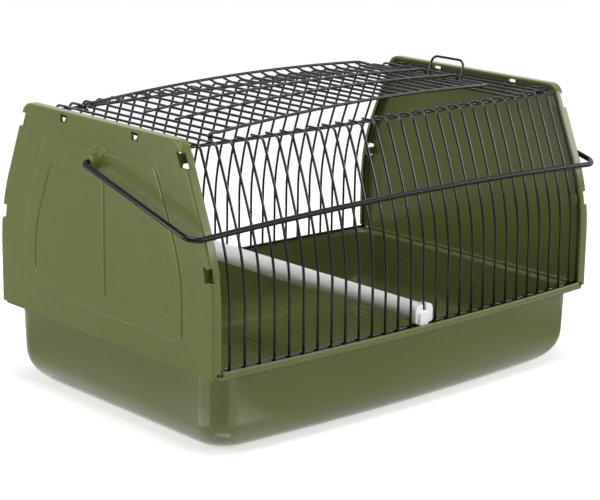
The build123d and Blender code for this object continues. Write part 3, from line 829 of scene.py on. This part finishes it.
def carry_handle():
    """Pin, arm and corner of one end, the bowed grip, and the same mirrored."""
    grip_half = ARM_X - HANDLE_CORNER
    corners = [(PIN_IN, 0, 0), (ARM_X, 0, 0), (ARM_X, -HANDLE_REACH, 0), (grip_half, -HANDLE_REACH, 0)]
    half = bends(corners, [PIVOT_BEND, HANDLE_CORNER * 0.999], 10)[:-1]     # a hair less than the straight
    half += [Vector((x, -HANDLE_REACH, HANDLE_BOW * (1 - (x / grip_half) ** 2)))
             for x in sweep(grip_half, 0, 16)[1:]]
    turn = Matrix.Rotation(HANDLE_REST, 4, "X")
    path = half + [Vector((-p.x, p.y, p.z)) for p in half[-2::-1]]
    bm = bmesh.new()
    tube(bm, [turn @ p + Vector((0, 0, PIVOT_Z)) for p in path], HANDLE_R, 20)
    add_object("carry_handle_visual", bm, HANDLE_MAT, "handle_body", ["carry_handle"])


carry_handle()

# ---------------------------------------------------------------- backdrop and floor, in m
BACKDROP_WAY = (0.766, 0.643, 0)          # from the object to the backdrop behind it
BACKDROP_EDGE = (0.05, 0.5)               # lean of a mirrored ray that way, where white starts and is full
AMBIENT = 0.2
FLOOR_GLOW = 0.55                         # lifts the floor to white for the camera, and keeps the shadow
SHEEN_SHARE, SHEEN_ROUGH = 0.85, 0.12     # the floor's sheen, which shows in the gloss of the tub
SHEEN_X = (-0.10, -0.075)                 # it fades to the right, where the front wall would mirror it
BEHIND = (0.3, 0.9)                       # over this distance behind the object the mirrored floor lights up
FAR_WHITE = (0.35, 0.9)                   # and over this distance from the middle the floor turns pure white
# Painted glow: the floor glows for mirrored rays only, strongly close to the tub where its shadow lies, and
# again further out
PAINTED_GLOW_HALF = (0.125, 0.078, 0)           # half sizes of the box from which the painted glow is measured
CLOSE_PAINTED_GLOW, CLOSE_STRENGTH = (0.015, 0.085), 0.8        # fades out over this distance from the box
DISTANT_PAINTED_GLOW = (0.10, 0.14)             # comes in again over this one
DISTANT_X, DISTANT_STRENGTH = (-0.2, -0.05), (0.22, 0.5)  # and is stronger to the right


def grey(value):
    return (value, value, value)


def make_world():
    """White where it is seen directly, through something or as the mirrored backdrop; dim light elsewhere."""
    world = bpy.data.worlds.new("studio")
    bpy.context.scene.world = world
    world.use_nodes = True
    world.node_tree.nodes.clear()
    n = Nodes(world.node_tree, "Generated")
    rays = n.add("ShaderNodeLightPath").outputs
    facing = n.remap(n.vectors("DOT_PRODUCT", n.coords, BACKDROP_WAY), 0, 1, *BACKDROP_EDGE)
    mirrored = n.maths("MULTIPLY", rays["Is Glossy Ray"], facing)
    shown = n.maths("MAXIMUM", mirrored, rays["Is Transmission Ray"])
    shown = n.maths("MAXIMUM", rays["Is Camera Ray"], shown)
    ambient = n.add("ShaderNodeBackground", Color=(1, 1, 1, 1), Strength=AMBIENT).outputs[0]
    white = n.add("ShaderNodeBackground", Color=(1, 1, 1, 1), Strength=1.0).outputs[0]
    n.add("ShaderNodeOutputWorld", {0: n.mix_shader(shown, ambient, white)})


def floor_paint():
    """White paint: glows for the camera, has a sheen and a painted glow for mirrored rays, is pure white far
    away.
    """
    m = Material("floor_paint")
    m.link(m.mix_colour(m.remap(m.noise(3.0), 0, 1), grey(0.86), grey(0.88)), "Base Color")
    m.set(Roughness=0.9, Specular_IOR_Level=0.1)
    rays = m.add("ShaderNodeLightPath").outputs
    mirrored, across = rays["Is Glossy Ray"], m.add("ShaderNodeSeparateXYZ", {0: m.coords}).outputs[0]

    behind = m.remap(m.vectors("DOT_PRODUCT", m.coords, BACKDROP_WAY), 0, 1, *BEHIND)
    shown = m.maths("MAXIMUM", rays["Is Camera Ray"], rays["Is Transmission Ray"])
    shown = m.maths("MAXIMUM", shown, m.maths("MULTIPLY", behind, mirrored))
    paint = m.add_shader(m.bsdf.outputs[0], m.emission(m.maths("MULTIPLY", shown, FLOOR_GLOW)))

    sheen = m.add("ShaderNodeBsdfGlossy", Roughness=SHEEN_ROUGH)
    tint = m.mix_colour(m.remap(across, 0, 1, *SHEEN_X), grey(0.55), grey(0.02))
    m.tree.links.new(tint, sheen.inputs["Color"])
    surface = m.mix_shader(m.maths("MULTIPLY", mirrored, SHEEN_SHARE), paint, sheen.outputs[0])

    # painted glow that only mirrored rays see: strong close to the tub, where its shadow lies, and again
    # further out, stronger to the right
    folded = m.vectors("SUBTRACT", m.vectors("ABSOLUTE", m.coords), PAINTED_GLOW_HALF)
    outside = m.vectors("LENGTH", m.vectors("MAXIMUM", folded))
    close = m.remap(outside, CLOSE_STRENGTH, 0, *CLOSE_PAINTED_GLOW)
    beyond = m.remap(outside, 0, 1, *DISTANT_PAINTED_GLOW)
    distant = m.maths("MULTIPLY", beyond, m.remap(across, *DISTANT_STRENGTH, *DISTANT_X))
    painted_glow = m.maths("MULTIPLY", m.maths("ADD", close, distant), mirrored)
    surface = m.add_shader(surface, m.emission(painted_glow))

    away = m.remap(m.vectors("LENGTH", m.coords), 0, 1, *FAR_WHITE)
    pure = m.add("ShaderNodeEmission").outputs[0]
    surface = m.mix_shader(m.maths("MULTIPLY", away, shown), surface, pure)
    m.tree.links.new(surface, m.tree.nodes["Material Output"].inputs["Surface"])
    return m.mat


def make_floor():
    bm = bmesh.new()
    bmesh.ops.create_grid(bm, x_segments=60, y_segments=60, size=40.0)
    mesh = bpy.data.meshes.new("floor")
    bm.to_mesh(mesh)
    bm.free()
    floor = bpy.data.objects.new("floor", mesh)
    bpy.context.scene.collection.objects.link(floor)
    mesh.materials.append(floor_paint())


make_world()
make_floor()

# ---------------------------------------------------------------- lamps and camera
AIM = Vector((0, 0, 0.08))                # what the lamps point at, in m
CAMERA_TURN, CAMERA_TILT, CAMERA_ROLL = radians(-41.89), radians(14.44), radians(0.81)
CAMERA_AIM, CAMERA_DISTANCE, CAMERA_SHIFT = Vector((0, 0, 85)), 1181.04, (-0.45, -8.5)    # in mm
SENSOR, FOCAL_PIXELS, PICTURE_PIXELS = 36.0, 1943.19, 600


def softbox(name, azimuth, elevation, distance, size, power):
    """Lamp in a direction from the object; azimuth 0 is +X and -90 is the front."""
    light = bpy.data.lights.new(name, "AREA")
    light.shape = "RECTANGLE"
    light.size, light.size_y = size
    light.energy = power
    obj = bpy.data.objects.new(name, light)
    bpy.context.scene.collection.objects.link(obj)
    a, e = radians(azimuth), radians(elevation)
    obj.location = AIM + Vector((cos(a) * cos(e), sin(a) * cos(e), sin(e))) * distance
    obj.rotation_euler = (AIM - obj.location).to_track_quat("-Z", "Y").to_euler()


def photo_camera():
    """Camera matched to the photo's outlines."""
    ahead = cos(CAMERA_TILT)
    back = Vector((sin(CAMERA_TURN) * ahead, -cos(CAMERA_TURN) * ahead, sin(CAMERA_TILT)))
    level = (-back).cross(Vector((0, 0, 1))).normalized()
    upright = level.cross(-back)
    right = cos(CAMERA_ROLL) * level + sin(CAMERA_ROLL) * upright
    up = cos(CAMERA_ROLL) * upright - sin(CAMERA_ROLL) * level
    place = CAMERA_AIM + back * CAMERA_DISTANCE + right * CAMERA_SHIFT[0] + up * CAMERA_SHIFT[1]
    data = bpy.data.cameras.new("photo_camera")
    data.sensor_width = SENSOR
    data.lens = FOCAL_PIXELS * SENSOR / PICTURE_PIXELS
    data.clip_end = 20
    camera = bpy.data.objects.new("photo_camera", data)
    bpy.context.scene.collection.objects.link(camera)
    turn = Matrix((right, up, back)).transposed().to_4x4()
    camera.matrix_world = Matrix.Translation(place * MM) @ turn
    bpy.context.scene.camera = camera


softbox("softbox_back_left", 150, -3, 1.3, (0.42, 0.35), 4.6)
softbox("softbox_left", 162, 22, 1.3, (1.15, 0.26), 5.0)
softbox("strip_front", -81, 21, 1.4, (1.05, 0.42), 2.8)
softbox("softbox_front", -40, 18, 1.4, (1.3, 0.26), 5.8)
softbox("softbox_top", -120, 76, 1.4, (0.8, 0.8), 13.0)
photo_camera()
bpy.context.scene.view_settings.view_transform = "Standard"
